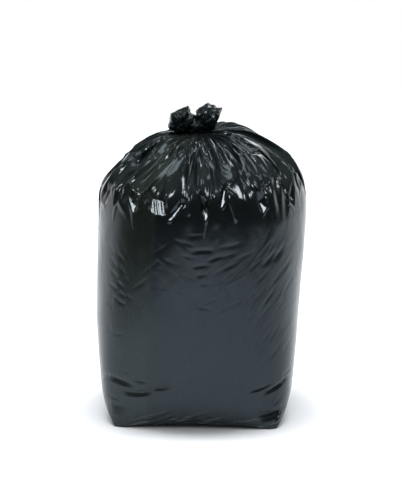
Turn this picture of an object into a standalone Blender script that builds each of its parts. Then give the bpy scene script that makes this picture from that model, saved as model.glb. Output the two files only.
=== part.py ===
"""Full bin bag, tied shut and standing on its base.

One closed solid: plastic film drawn tight over its load, with the filled space
inside. The film is one tube, welded flat across one end, so its girth is the same
at every height. At the base the tube opens out into a square with four sharp
corners. Going up, the same girth turns into a circle, which is why the bag is
narrower at the floor than at its shoulders. Above the shoulders the tube has far
more girth than it needs, so it falls into pleats that run in to the neck, where
the bag's own mouth is tied into a knot with two crumpled ears.

Metres, +Z up, -Y is the front. Origin: middle of the base, on the floor.
"""

import math

import bmesh
import bpy
from mathutils import Vector, noise

# ------------------------------------------------------------------ dimensions
FLAT_WIDTH = 0.70            # width of the empty bag laid flat
GIRTH = 2 * FLAT_WIDTH       # girth of the film tube
GIRTH_USED = 0.995           # share of it that the load stretches out
COLUMNS = 96                 # points round the tube, 12 in each eighth
OCTANT = COLUMNS // 8

BASE_YAW = math.radians(-2.5)  # the square base is turned a little on the floor
EDGE_LIFT = 0.010             # the base's edges rise between its corners
EDGE_ROUND = 0.045            # how far in from the edge the base meets the floor
EDGE_FOLD = (0.0055, 0.0024, 0.0003)  # depth that the film folded in to the base's edge takes from the lowest sections

# height, half width along X, roundness (2 is an ellipse, 20 almost a square), sideways lean
SECTIONS = (
    (0.000, 0.1750, 22.0, 0.0075),
    (0.012, 0.1845, 12.0, 0.0070),
    (0.032, 0.1948, 7.5, 0.0058),
    (0.072, 0.2062, 4.9, 0.0052),
    (0.132, 0.2131, 3.8, 0.0046),
    (0.202, 0.2182, 3.1, 0.0047),
    (0.282, 0.2212, 2.65, 0.0077),
    (0.362, 0.2238, 2.3, 0.0118),
    (0.412, 0.2244, 2.15, 0.0139),
    (0.457, 0.2244, 2.08, 0.0153),
)
# the dome above the shoulders: radius, height, sideways lean
DOME = (
    (0.2226, 0.480, 0.0150),
    (0.2168, 0.502, 0.0166),
    (0.2056, 0.522, 0.0214),
    (0.1886, 0.542, 0.0256),
    (0.1678, 0.561, 0.0240),
    (0.1436, 0.578, 0.0188),
    (0.1150, 0.5925, 0.0155),
    (0.0880, 0.6005, 0.0138),
    (0.0610, 0.6022, 0.0150),
    (0.0400, 0.6020, 0.0130),
    (0.0270, 0.6036, 0.0110),
    (0.0210, 0.6080, 0.0080),
    (0.0200, 0.6140, 0.0040),
)
PLEATS = 24                  # pleats running in to the neck, 4 points each
PLEAT_DEPTH = 0.0085
HUMP = (0.070, 0.085, 0.017)  # the dome's high side, behind and right of the knot

KNOT_CENTRE = Vector((-0.002, 0.0, 0.6260))
KNOT_EARS = (                # centre, half sizes
    (Vector((-0.0320, 0.000, 0.6290)), Vector((0.0280, 0.0300, 0.0290))),
    (Vector((0.0270, -0.002, 0.6370)), Vector((0.0290, 0.0300, 0.0260))),
    (Vector((-0.0020, -0.004, 0.6200)), Vector((0.0290, 0.0290, 0.0220))),
)
KNOT_CRUMPLE = 0.0060


# ------------------------------------------------------------------ the tube's sections
def superellipse(a, b, power, angle):
    c, s = abs(math.cos(angle)), abs(math.sin(angle))
    reach = ((c / a) ** power + (s / b) ** power) ** (-1.0 / power)
    return math.cos(angle) * reach, math.sin(angle) * reach


def octant_points(a, b, power, start, end, count):
    """count points at equal steps of length along the outline, from start up to end."""
    steps = 160
    line = [superellipse(a, b, power, start + (end - start) * i / steps) for i in range(steps + 1)]
    along = [0.0]
    for p, q in zip(line, line[1:]):
        along.append(along[-1] + math.dist(p, q))
    points, j = [], 0
    for k in range(count):
        want = along[-1] * k / count
        while along[j + 1] < want:
            j += 1
        t = (want - along[j]) / (along[j + 1] - along[j])
        points.append((line[j][0] + t * (line[j + 1][0] - line[j][0]), line[j][1] + t * (line[j + 1][1] - line[j][1])))
    return points


def outline(a, b, power):
    """The section as COLUMNS points, anticlockwise from +X, with a point on each corner."""
    corner = math.atan2(b, a)
    turns = [0.0, corner, math.pi / 2, math.pi - corner, math.pi, math.pi + corner, 1.5 * math.pi, 2 * math.pi - corner, 2 * math.pi]
    points = []
    for start, end in zip(turns, turns[1:]):
        points += octant_points(a, b, power, start, end, OCTANT)
    return points


def girth_of(points):
    return sum(math.dist(p, q) for p, q in zip(points, points[1:] + points[:1]))


def half_depth(a, power, girth):
    """How deep the section of half width a is: its depth follows from the film's girth."""
    low, high = 0.5 * a, 1.6 * a
    for _ in range(30):
        b = (low + high) / 2
        if girth_of(outline(a, b, power)) < girth:
            low = b
        else:
            high = b
    return (low + high) / 2


def section(index, girth):
    _, a, power, _ = SECTIONS[index]
    taken = EDGE_FOLD[index] if index < len(EDGE_FOLD) else 0.0
    return outline(a, half_depth(a, power, girth) - taken, power)


SHOULDER_OVAL = half_depth(SECTIONS[-1][1], SECTIONS[-1][2], GIRTH * GIRTH_USED) / SECTIONS[-1][1]


def turned(points, yaw, lean, z):
    c, s = math.cos(yaw), math.sin(yaw)
    return [Vector((x * c - y * s + lean, x * s + y * c, z)) for x, y in points]


# ------------------------------------------------------------------ pleats
def pleat_wave(column):
    """0 on a pleat's ridge, 1 in the groove beside it. The ridges are wide and the grooves narrow."""
    return (0.0, 0.35, 1.0, 0.35)[column % 4]


def pleat_size(column):
    """Pleats differ in depth."""
    n = (column // 4) % PLEATS
    return 0.65 + 0.35 * math.sin(2.4 * n + 1.0) * math.cos(1.3 * n)


def dome_ring(index):
    radius, z, lean = DOME[index]
    share = (index + 1) / len(DOME)
    oval = 1 - (1 - SHOULDER_OVAL) * (1 - share)
    depth = PLEAT_DEPTH * math.sin(math.pi * min(1.0, share * 0.85)) * min(1.0, radius / 0.05)
    ring = []
    for k in range(COLUMNS):
        angle = 2 * math.pi * k / COLUMNS
        dip = depth * pleat_size(k) * pleat_wave(k)
        slope = min(1.0, 0.25 + 1.0 * share)
        r = radius - dip * (1 - slope * 0.7)
        x, y = r * math.cos(angle) + lean, r * math.sin(angle) * oval
        away = math.dist((x, y), HUMP[:2]) / 0.078
        ring.append(Vector((x, y, z - dip * slope + HUMP[2] * math.exp(-away * away) * min(1.0, radius / 0.06))))
    return ring


# ------------------------------------------------------------------ body
def body_rings():
    rings = []
    for index, (z, _, _, lean) in enumerate(SECTIONS):
        share = z / SECTIONS[-1][0]
        yaw = BASE_YAW * (1 - share) ** 1.5
        rings.append(turned(section(index, GIRTH * GIRTH_USED), yaw, lean, z))
    # the base's edge: on the floor at the four corners, lifted between them
    for k, p in enumerate(rings[0]):
        from_corner = abs((k % (2 * OCTANT)) - OCTANT) / OCTANT
        p.z = EDGE_LIFT * math.cos(from_corner * math.pi / 2 - math.pi / 2) ** 0.8 if from_corner else 0.0
    return rings


def base_ring(edge):
    """Where the base meets the floor, in from its edge except at the corners."""
    ring = []
    for k, p in enumerate(edge):
        from_corner = abs((k % (2 * OCTANT)) - OCTANT) / OCTANT
        inset = EDGE_ROUND * (0.10 + 0.90 * min(1.0, from_corner * 2.2))
        flat = Vector((p.x, p.y, 0.0))
        ring.append(flat * (1 - inset / flat.length))
    return ring


def loft(mesh, rings):
    made = [[mesh.verts.new(p) for p in ring] for ring in rings]
    for low, high in zip(made, made[1:]):
        for k in range(COLUMNS):
            n = (k + 1) % COLUMNS
            mesh.faces.new((low[k], low[n], high[n], high[k]))
    mesh.faces.new(list(reversed(made[0])))
    mesh.faces.new(made[-1])


def crumple(p):
    """Sharp-edged creases, as in crushed film."""
    q = p * 62.0
    first = abs(noise.noise(q))
    second = abs(noise.noise(q * 2.1 + Vector((7.1, 3.3, 1.7))))
    return 0.9 - 3.2 * first - 1.2 * second


def knot_mesh(mesh):
    """One crumpled lump: each point lies on the outermost of the three overlapping parts of the knot."""
    bmesh.ops.create_icosphere(mesh, subdivisions=4, radius=1.0)
    for v in mesh.verts:
        out = v.co.normalized()
        reach = 0.0
        for centre, half in KNOT_EARS:
            # where the ray from the knot's centre leaves this ellipsoid
            o = Vector([(KNOT_CENTRE - centre)[i] / half[i] for i in range(3)])
            d = Vector([out[i] / half[i] for i in range(3)])
            a, b, c = d.dot(d), 2 * o.dot(d), o.dot(o) - 1
            root = b * b - 4 * a * c
            if root > 0:
                reach = max(reach, (-b + math.sqrt(root)) / (2 * a))
        p = KNOT_CENTRE + out * reach
        v.co = KNOT_CENTRE + out * (reach + KNOT_CRUMPLE * crumple(p))


def material(name, colour, roughness):
    made = bpy.data.materials.new(name)
    made.use_nodes = True
    shader = made.node_tree.nodes["Principled BSDF"]
    shader.inputs["Base Color"].default_value = (*colour, 1.0)
    shader.inputs["Roughness"].default_value = roughness
    shader.inputs["Metallic"].default_value = 0.0
    return made


def as_object(name, mesh):
    data = bpy.data.meshes.new(name)
    bmesh.ops.recalc_face_normals(mesh, faces=mesh.faces)
    mesh.to_mesh(data)
    mesh.free()
    made = bpy.data.objects.new(name, data)
    bpy.context.scene.collection.objects.link(made)
    return made


def main():
    for old in list(bpy.data.objects):
        bpy.data.objects.remove(old)

    film = material("black_film", (0.016, 0.018, 0.020), 0.28)

    mesh = bmesh.new()
    rings = body_rings()
    loft(mesh, [base_ring(rings[0])] + rings + [dome_ring(i) for i in range(len(DOME))])
    # the origin is the middle of the bag's box, on the floor
    xs, ys = [v.co.x for v in mesh.verts], [v.co.y for v in mesh.verts]
    shift = Vector((-(min(xs) + max(xs)) / 2, -(min(ys) + max(ys)) / 2, 0.0))
    bmesh.ops.translate(mesh, verts=mesh.verts, vec=shift)
    bag = as_object("bin_bag", mesh)
    bag.data.materials.append(film)

    mesh = bmesh.new()
    knot_mesh(mesh)
    bmesh.ops.translate(mesh, verts=mesh.verts, vec=shift)
    knot = as_object("knot_shape", mesh)
    knot.hide_render = True
    knot.display_type = "WIRE"
    tied = bag.modifiers.new("knot", "BOOLEAN")
    tied.operation = "UNION"
    tied.solver = "EXACT"
    tied.object = knot

    bag.data.shade_smooth()
    bag.data.set_sharp_from_angle(angle=math.radians(50))


main()
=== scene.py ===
"""Looks for the full bin bag: thin black film, pleated in to a tied knot.

The film is simulated in this script as what it is: a tube that hardly stretches,
pulled over a load and gathered at the neck. Everything is in metres, in the part's frame.
"""

import math
import time

import bpy
import numpy as np
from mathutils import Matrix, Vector


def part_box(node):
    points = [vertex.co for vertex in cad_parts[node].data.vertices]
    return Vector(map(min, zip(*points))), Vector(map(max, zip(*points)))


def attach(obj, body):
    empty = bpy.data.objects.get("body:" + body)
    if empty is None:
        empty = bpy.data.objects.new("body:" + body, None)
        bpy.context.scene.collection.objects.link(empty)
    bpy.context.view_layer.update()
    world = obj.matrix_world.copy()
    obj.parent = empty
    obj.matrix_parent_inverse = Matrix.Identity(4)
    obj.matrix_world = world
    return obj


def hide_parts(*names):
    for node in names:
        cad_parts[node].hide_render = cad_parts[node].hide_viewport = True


STARTED = time.time()
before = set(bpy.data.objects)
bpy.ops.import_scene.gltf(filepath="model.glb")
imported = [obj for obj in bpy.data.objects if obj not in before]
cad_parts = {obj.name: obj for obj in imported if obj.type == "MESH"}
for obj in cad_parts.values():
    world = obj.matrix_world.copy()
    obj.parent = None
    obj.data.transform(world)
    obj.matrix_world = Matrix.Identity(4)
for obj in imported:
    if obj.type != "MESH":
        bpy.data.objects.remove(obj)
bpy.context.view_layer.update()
BAG_LOW, BAG_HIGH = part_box("bin_bag")

# ------------------------------------------------------------------ camera
ELEVATION = math.radians(12.0)
DISTANCE = 3.2
PIXELS_PER_METRE = 460.0
camera_data = bpy.data.cameras.new("camera")
camera = bpy.data.objects.new("camera", camera_data)
bpy.context.scene.collection.objects.link(camera)
bpy.context.scene.camera = camera
camera_data.sensor_width = 36.0
camera_data.lens = PIXELS_PER_METRE * DISTANCE * 36.0 / 500.0
target = Vector((-0.0012, 0.0, 0.3465))
back = Vector((0.0, -math.cos(ELEVATION), math.sin(ELEVATION)))
camera.location = target + back * DISTANCE
camera.rotation_mode = "QUATERNION"
camera.rotation_quaternion = (-back).to_track_quat("-Z", "Y")
camera_data.clip_end = 60.0

# ------------------------------------------------------------------ the bag's own measures, as in its construction
GIRTH = 1.40 * 0.995
BASE_YAW = math.radians(-2.5)
EDGE_LIFT = 0.010
SECTIONS = np.array((
    (0.000, 0.1750, 22.0, 0.0075),
    (0.012, 0.1845, 12.0, 0.0070),
    (0.032, 0.1948, 7.5, 0.0058),
    (0.072, 0.2062, 4.9, 0.0052),
    (0.132, 0.2131, 3.8, 0.0046),
    (0.202, 0.2182, 3.1, 0.0047),
    (0.282, 0.2212, 2.65, 0.0077),
    (0.362, 0.2238, 2.3, 0.0118),
    (0.412, 0.2244, 2.15, 0.0139),
    (0.457, 0.2244, 2.08, 0.0153),
))
DOME = np.array((
    (0.2226, 0.480, 0.0150),
    (0.2168, 0.502, 0.0166),
    (0.2056, 0.522, 0.0214),
    (0.1886, 0.542, 0.0256),
    (0.1678, 0.561, 0.0240),
    (0.1436, 0.578, 0.0188),
    (0.1150, 0.5925, 0.0155),
    (0.0880, 0.6005, 0.0138),
    (0.0610, 0.6022, 0.0150),
    (0.0400, 0.6020, 0.0130),
    (0.0270, 0.6036, 0.0110),
    (0.0210, 0.6080, 0.0080),
    (0.0200, 0.6140, 0.0040),
))
HUMP = (0.070, 0.085, 0.017)


def superellipse(a, b, power, angle):
    c, s = np.abs(np.cos(angle)), np.abs(np.sin(angle))
    reach = ((c / a) ** power + (s / b) ** power) ** (-1.0 / power)
    return np.stack((np.cos(angle) * reach, np.sin(angle) * reach), -1)


def girth_of(line):
    return float(np.linalg.norm(np.roll(line, -1, 0) - line, axis=1).sum())


def outline(a, b, power, count):
    """count points round the section at equal steps of film in each eighth, with a point on each corner."""
    corner = math.atan2(b, a)
    turns = [0.0, corner, math.pi / 2, math.pi - corner, math.pi, math.pi + corner, 1.5 * math.pi, 2 * math.pi - corner, 2 * math.pi]
    each, parts = count // 8, []
    for start, end in zip(turns, turns[1:]):
        line = superellipse(a, b, power, np.linspace(start, end, 400))
        along = np.concatenate([[0], np.cumsum(np.linalg.norm(np.diff(line, axis=0), axis=1))])
        want = along[-1] * np.arange(each) / each
        parts.append(np.stack([np.interp(want, along, line[:, k]) for k in (0, 1)], 1))
    return np.concatenate(parts)


def half_depth(a, power):
    low, high = 0.5 * a, 1.6 * a
    for _ in range(26):
        b = (low + high) / 2
        if girth_of(outline(a, b, power, 192)) < GIRTH:
            low = b
        else:
            high = b
    return (low + high) / 2


DEPTHS = np.array([half_depth(a, p) for _, a, p, _ in SECTIONS])
DEPTHS[:3] = DEPTHS[3] - np.array((0.0052, 0.0042, 0.0026))  # the base's edge takes up a little of the film
SHOULDER_OVAL = DEPTHS[-1] / SECTIONS[-1, 1]


def smooth_between(x, xs, ys):
    """Monotone cubic through the points, so that no row shows a kink."""
    xs, ys = np.asarray(xs, float), np.asarray(ys, float)
    h, d = np.diff(xs), np.diff(ys) / np.diff(xs)
    m = np.empty(len(xs))
    m[1:-1] = np.where(d[:-1] * d[1:] > 0, 2 * d[:-1] * d[1:] / np.where(np.abs(d[:-1] + d[1:]) < 1e-12, 1, d[:-1] + d[1:]), 0)
    m[0], m[-1] = d[0], d[-1]
    i = np.clip(np.searchsorted(xs, x) - 1, 0, len(xs) - 2)
    t = (x - xs[i]) / h[i]
    return (
        (2 * t**3 - 3 * t**2 + 1) * ys[i] + (t**3 - 2 * t**2 + t) * h[i] * m[i]
        + (-2 * t**3 + 3 * t**2) * ys[i + 1] + (t**3 - t**2) * h[i] * m[i + 1]
    )


# the meridian: length of film up from the base's edge, to each section and each dome ring
_r = np.concatenate([SECTIONS[:, 1], DOME[:, 0]])
_z = np.concatenate([SECTIONS[:, 0], DOME[:, 1]])
STATIONS = np.concatenate([[0], np.cumsum(np.hypot(np.diff(_r), np.diff(_z)))])
N_BODY = len(SECTIONS)
SHOULDER = STATIONS[N_BODY - 1]
LENGTH = STATIONS[-1]
STATION_R, STATION_Z = _r, _z


def stations(rows):
    """How far up the film each row lies: the rows are closest over the dome, where the pleats are."""
    t = np.linspace(0, 1, rows)
    return LENGTH * (t + 0.30 * np.sin(np.pi * t) / np.pi)


def taut_surface(columns, s):
    """The taut shape, [column, row, xyz], and each row's radius."""
    rows = len(s)
    out = np.empty((columns, rows, 3))
    shift = base_shift()
    turn = 2 * np.pi * np.arange(columns) / columns
    radius = smooth_between(s, STATIONS, STATION_R)
    height = smooth_between(s, STATIONS, STATION_Z)
    lean = smooth_between(s, STATIONS, np.concatenate([SECTIONS[:, 3], DOME[:, 2]]))
    n_of_corner = columns // 4
    from_corner = np.abs((np.arange(columns) % n_of_corner) - n_of_corner / 2) / (n_of_corner / 2)
    lift = EDGE_LIFT * np.sin(from_corner * np.pi / 2) ** 0.8
    for j in range(rows):
        if s[j] <= SHOULDER:
            z = height[j]
            a = smooth_between(z, SECTIONS[:, 0], SECTIONS[:, 1])
            p = math.exp(smooth_between(z, SECTIONS[:, 0], np.log(SECTIONS[:, 2])))
            b = smooth_between(z, SECTIONS[:, 0], DEPTHS)
            xy = outline(float(a), float(b), float(p), columns)
            yaw = BASE_YAW * (1 - z / SECTIONS[-1, 0]) ** 1.5
            c, sn = math.cos(yaw), math.sin(yaw)
            out[:, j, 0] = xy[:, 0] * c - xy[:, 1] * sn + lean[j]
            out[:, j, 1] = xy[:, 0] * sn + xy[:, 1] * c
            out[:, j, 2] = z + lift * math.exp(-z / 0.02)
        else:
            share = (s[j] - SHOULDER) / (LENGTH - SHOULDER)
            oval = 1 - (1 - SHOULDER_OVAL) * (1 - share)
            out[:, j, 0] = radius[j] * np.cos(turn) + lean[j]
            out[:, j, 1] = radius[j] * np.sin(turn) * oval
            away = np.hypot(out[:, j, 0] - HUMP[0], out[:, j, 1] - HUMP[1]) / 0.078
            out[:, j, 2] = height[j] + HUMP[2] * np.exp(-away**2) * min(1.0, radius[j] / 0.06)
    return out + shift, radius


def base_shift():
    """From the design's own axis to the part's frame, whose origin is the middle of its box."""
    edges = np.stack((SECTIONS[:, 3] - SECTIONS[:, 1], SECTIONS[:, 3] + SECTIONS[:, 1]))
    return np.array([(BAG_LOW.x + BAG_HIGH.x) / 2 - (edges[0].min() + edges[1].max()) / 2, (BAG_LOW.y + BAG_HIGH.y) / 2, 0.0])


# ------------------------------------------------------------------ noise on the film's own grid
def film_noise(columns, rows, cells_u, cells_v, seed):
    """Smooth noise, about -1 to 1, that joins up round the tube."""
    rng = np.random.default_rng(seed)
    grid = rng.uniform(-1, 1, (cells_u, cells_v + 3))
    u = np.arange(columns) / columns * cells_u
    v = np.linspace(0, cells_v, rows)
    iu, iv = np.floor(u).astype(int), np.minimum(np.floor(v).astype(int), cells_v - 1)
    fu, fv = u - iu, v - iv

    def weights(f):
        return np.stack(((1 - f) ** 3, 3 * f**3 - 6 * f**2 + 4, -3 * f**3 + 3 * f**2 + 3 * f + 1, f**3), 0) / 6

    wu, wv = weights(fu), weights(fv)
    out = np.zeros((columns, rows))
    for i in range(4):
        for j in range(4):
            out += (wu[i][:, None] * wv[j][None, :]) * grid[(iu + i - 1) % cells_u][:, np.clip(iv + j, 0, cells_v + 2)]
    return out * 1.9


# ------------------------------------------------------------------ the film solver
def roll(a, n):
    return np.roll(a, -n, axis=0)


class Film:
    """A grid of points, [column, row, xyz], joined round the tube, that keeps its lengths."""

    def __init__(self, p, rest_u, rest_v, weight, wrap=True, shape=None, held=None):
        self.p = p.astype(np.float32)
        self.v = np.zeros_like(self.p)
        self.w = weight.astype(np.float32)[..., None]
        self.wrap = wrap
        nu, nv = p.shape[:2]
        self.nu, self.nv = nu, nv
        self.ru = rest_u.astype(np.float32)
        self.rv = rest_v.astype(np.float32)
        ru_mid = (self.ru[:, :-1] + self.ru[:, 1:]) / 2
        square = np.sqrt(ru_mid**2 + ((self.rv + roll(self.rv, 1)) / 2) ** 2)
        self.rd1 = self.rd2 = square
        if shape is not None:
            up = np.linalg.norm(roll(shape[:, 1:], 1) - shape[:, :-1], axis=-1) * 0.9988
            down = np.linalg.norm(shape[:, 1:] - roll(shape[:, :-1], 1), axis=-1) * 0.9988
            self.rd1 = (held * up + (1 - held) * square).astype(np.float32)
            self.rd2 = (held * down + (1 - held) * square).astype(np.float32)
        self.even, self.odd = np.arange(0, nu, 2), np.arange(1, nu, 2)
        self.ub = [np.flatnonzero(np.arange(nu) % 4 < 2), np.flatnonzero(np.arange(nu) % 4 >= 2)]
        self.vb = [np.flatnonzero(np.arange(nv - 2) % 4 < 2), np.flatnonzero(np.arange(nv - 2) % 4 >= 2)]

    def _pull(self, a, b, wa, wb, rest, stretch, squeeze):
        d = b - a
        length = np.sqrt(np.einsum("...i,...i->...", d, d)) + 1e-9
        off = length - rest
        k = np.where(off > 0, stretch, squeeze) * off / (length * (wa + wb + 1e-9)[..., 0])
        d *= k[..., None]
        return d * wa, d * wb

    def along_u(self, stretch, squeeze):
        for ia in (self.even, self.odd):
            ib = (ia + 1) % self.nu
            if not self.wrap:
                keep = ia + 1 < self.nu
                ia, ib = ia[keep], ib[keep]
            a, b = self.p[ia], self.p[ib]
            da, db = self._pull(a, b, self.w[ia], self.w[ib], self.ru[ia], stretch, squeeze)
            self.p[ia] = a + da
            self.p[ib] = b - db

    def along_v(self, stretch, squeeze):
        for s in (0, 1):
            n = (self.nv - s) // 2 * 2
            a, b = self.p[:, s : s + n : 2], self.p[:, s + 1 : s + n : 2]
            da, db = self._pull(a, b, self.w[:, s : s + n : 2], self.w[:, s + 1 : s + n : 2], self.rv[:, s : s + n : 2], stretch, squeeze)
            self.p[:, s : s + n : 2] += da
            self.p[:, s + 1 : s + n : 2] -= db

    def across(self, stretch, squeeze):
        for s in (0, 1):
            n = (self.nv - s) // 2 * 2
            lo, hi = slice(s, s + n, 2), slice(s + 1, s + n, 2)
            a, b = self.p[:, lo], roll(self.p[:, hi], 1)
            da, db = self._pull(a, b, self.w[:, lo], roll(self.w[:, hi], 1), self.rd1[:, lo], stretch, squeeze)
            self.p[:, lo] = a + da
            self.p[:, hi] = roll(b - db, -1)
            a, b = roll(self.p[:, lo], 1), self.p[:, hi]
            da, db = self._pull(a, b, roll(self.w[:, lo], 1), self.w[:, hi], self.rd2[:, lo], stretch, squeeze)
            self.p[:, lo] = roll(a + da, -1)
            self.p[:, hi] = b - db

    def bend_u(self, k, share):
        for ia in self.ub:
            ib = (ia + 2) % self.nu
            a, b = self.p[ia], self.p[ib]
            da, db = self._pull(a, b, self.w[ia], self.w[ib], share * (self.ru[ia] + self.ru[(ia + 1) % self.nu]), 0.0, k)
            self.p[ia] = a + da
            self.p[ib] = b - db

    def bend_v(self, k, share):
        for ja in self.vb:
            jb = ja + 2
            a, b = self.p[:, ja], self.p[:, jb]
            da, db = self._pull(a, b, self.w[:, ja], self.w[:, jb], share * (self.rv[:, ja] + self.rv[:, ja + 1]), 0.0, k)
            self.p[:, ja] = a + da
            self.p[:, jb] = b - db

    def run(self, steps, limit, force, keep=0.92, squeeze=0.6, bend=0.12, share=0.98):
        force = (force * self.w).astype(np.float32)
        for _ in range(steps):
            old = self.p.copy()
            self.p += self.v * np.float32(keep) + force
            self.along_v(1.0, squeeze)
            self.along_u(1.0, squeeze)
            self.across(0.5, 0.4 * squeeze)
            self.bend_u(bend, share)
            self.bend_v(bend, share)
            limit(self)
            self.v = self.p - old
        return self


def between(taut, normal, inner, outer):
    """The film stays this far inside and outside a surface."""
    taut, normal = taut.astype(np.float32), normal.astype(np.float32)
    inner, outer = inner.astype(np.float32), outer.astype(np.float32)

    def limit(film):
        d = np.einsum("...i,...i->...", film.p - taut, normal)
        fix = np.clip(-inner - d, 0, None) - np.clip(d - outer, 0, None)
        film.p += normal * (fix * film.w[..., 0])[..., None]

    return limit


def finer(a, wrap=True):
    """Twice the grid, through the same points."""
    m = (-np.roll(a, 1, 0) + 9 * a + 9 * np.roll(a, -1, 0) - np.roll(a, -2, 0)) / 16
    out = np.empty((a.shape[0] * 2,) + a.shape[1:], a.dtype)
    out[0::2], out[1::2] = a, m
    low = np.concatenate([2 * out[:, :1] - out[:, 1:2], out, 2 * out[:, -1:] - out[:, -2:-1]], 1)
    m = (-low[:, :-3] + 9 * low[:, 1:-2] + 9 * low[:, 2:-1] - low[:, 3:]) / 16
    full = np.empty((out.shape[0], out.shape[1] * 2 - 1) + a.shape[2:], a.dtype)
    full[:, 0::2], full[:, 1::2] = out, m
    return full


def cubic(a, b, c, d, f):
    return 0.5 * ((2 * b) + (c - a) * f + (2 * a - 5 * b + 4 * c - d) * f**2 + (3 * b - a - 3 * c + d) * f**3)


def resampled(p, old, new, columns):
    """The same film with its rows at other stations, and more columns."""
    i = np.interp(new, old, np.arange(len(old)))
    k = np.clip(np.floor(i).astype(int), 1, len(old) - 3)
    p = cubic(p[:, k - 1], p[:, k], p[:, k + 1], p[:, k + 2], (i - k)[None, :, None])
    i = np.arange(columns) * len(p) / columns
    k = np.floor(i).astype(int)
    n = len(p)
    return cubic(p[(k - 1) % n], p[k % n], p[(k + 1) % n], p[(k + 2) % n], (i - k)[:, None, None])


COLUMNS = 1024
BORDER = 0.400               # where the body's film and the dome's meet


def final_stations():
    """The final rows, closest where the photograph shows small dents, and the row on the border."""
    at = [0.0]
    while at[-1] < BORDER:
        at.append(at[-1] + float(np.interp(at[-1], [0, 0.13, 0.15, 0.19, 0.21, BORDER], [0.0022, 0.0022, 0.0036, 0.0036, 0.0021, 0.0021])))
    low = np.array(at) * BORDER / at[-1]
    at = [0.0]
    while at[-1] < LENGTH - BORDER:
        at.append(at[-1] + float(np.interp(at[-1], [0, 0.12, 0.16, LENGTH], [0.0028, 0.0028, 0.0046, 0.0046])))
    high = BORDER + np.array(at) * (LENGTH - BORDER) / at[-1]
    return np.concatenate([low, high[1:]]), len(low) - 1


def normals_of(p):
    du = np.roll(p, -1, 0) - np.roll(p, 1, 0)
    dv = np.gradient(p, axis=1)
    n = np.cross(du, dv)
    return n / (np.linalg.norm(n, axis=-1, keepdims=True) + 1e-12)


def ease(x, low, high):
    t = np.clip((x - low) / (high - low), 0, 1)
    return t * t * (3 - 2 * t)


# radius of the ring, and how much longer than the ring the film's folds are there
FOLDED = ((0.224, 1.012), (0.222, 1.03), (0.2135, 1.07), (0.199, 1.14), (0.1815, 1.25), (0.1615, 1.39), (0.1385, 1.56), (0.113, 1.74), (0.087, 1.85), (0.06, 1.85), (0.04, 1.70), (0.02, 1.5))


def folded(s, radius):
    """The film's length round each ring, over the ring's own."""
    most = np.interp(-radius, [-r for r, _ in FOLDED], [k for _, k in FOLDED])
    return np.where(s < SHOULDER, np.interp(s, [0, 0.30, 0.38, SHOULDER], [1.0, 1.0, 1.003, 1.012]), most)


def pleat_depths(columns, s, radius, seed):
    """How far in the film lies behind its ridges. Each pleat is a notch with two flat sides that opens out from its tip."""
    rng = np.random.default_rng(seed)
    steep = np.sqrt(np.clip(folded(s, radius) ** 2 - 1, 0, None))
    u = np.arange(columns)[:, None] / columns
    out = np.zeros((columns, len(s)))
    for count, low, high, least in ((34, 0.410, 0.470, 0.24), (26, 0.465, 0.535, 0.40), (34, 0.53, 0.60, 0.6)):
        at = (np.arange(count) + rng.uniform(-0.38, 0.38, count)) / count
        starts = rng.uniform(low, high, count)
        deep, skew = rng.uniform(0.75, 1.25, count), rng.uniform(0.45, 1.55, count)
        drift = rng.normal(0, 0.35 / count, count)
        for k in range(count):
            t = np.clip(s - starts[k], 0, None)
            wide = np.minimum(0.30 * t, 1.1 * np.pi * radius / count)
            depth = wide * np.maximum(steep, least) * deep[k]
            middle = at[k] + drift[k] * (LENGTH - s) / (LENGTH - 0.45)
            gap = ((u - middle[None, :] + 0.5) % 1.0 - 0.5) * 2 * np.pi * radius[None, :]
            side = np.where(gap > 0, skew[k], 2 - skew[k]) * wide[None, :] + 1e-6
            out = np.maximum(out, np.clip(1 - np.abs(gap) / side, 0, None) * depth[None, :])
    return out


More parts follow.
